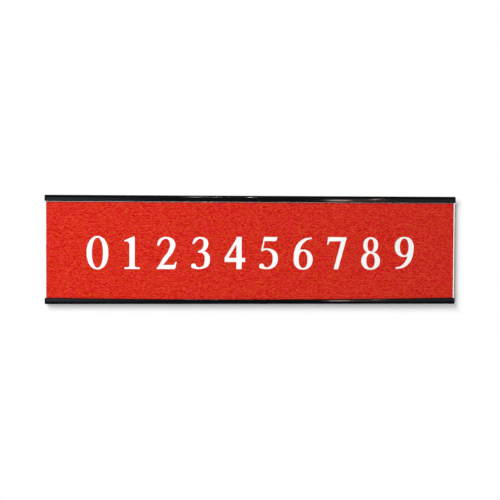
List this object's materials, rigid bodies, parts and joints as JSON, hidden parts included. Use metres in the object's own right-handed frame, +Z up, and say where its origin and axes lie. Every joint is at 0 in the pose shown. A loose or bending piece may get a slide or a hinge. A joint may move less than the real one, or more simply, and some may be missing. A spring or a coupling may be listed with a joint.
{
  "type": "wall name plate",
  "caption": "Wall name plate: a channel holder with open ends, rounded rails, screw holes and foam tape on its back, holding a bevelled engraving sheet that slides along the rails.",
  "frame": {"origin": "on the holder's back face, midway between its two screw holes", "axes": "+X along the rails, to the right as seen from the front; +Y towards the wall; +Z up"},
  "size_m": [0.2032, 0.0067, 0.0536],
  "materials": {
    "black_plastic": "glossy black, extruded, with faint draw lines along its length",
    "white_core": "matte white, machined at the bevels",
    "red_cap": "matte red with a fine brushed grain along its length",
    "white_foam": "closed-cell foam with a tacky skin"
  },
  "bodies": {
    "holder_body": {"holder": "black_plastic", "foam_tape_left": "white_foam", "foam_tape_right": "white_foam"},
    "insert_body": {"insert_core": "white_core", "insert_cap": "red_cap"}
  },
  "joints": [
    {"name": "insert_slide", "type": "slide", "parent": "holder_body", "child": "insert_body", "axis": [1, 0, 0], "range_m": [-0.21, 0.21]}
  ]
}
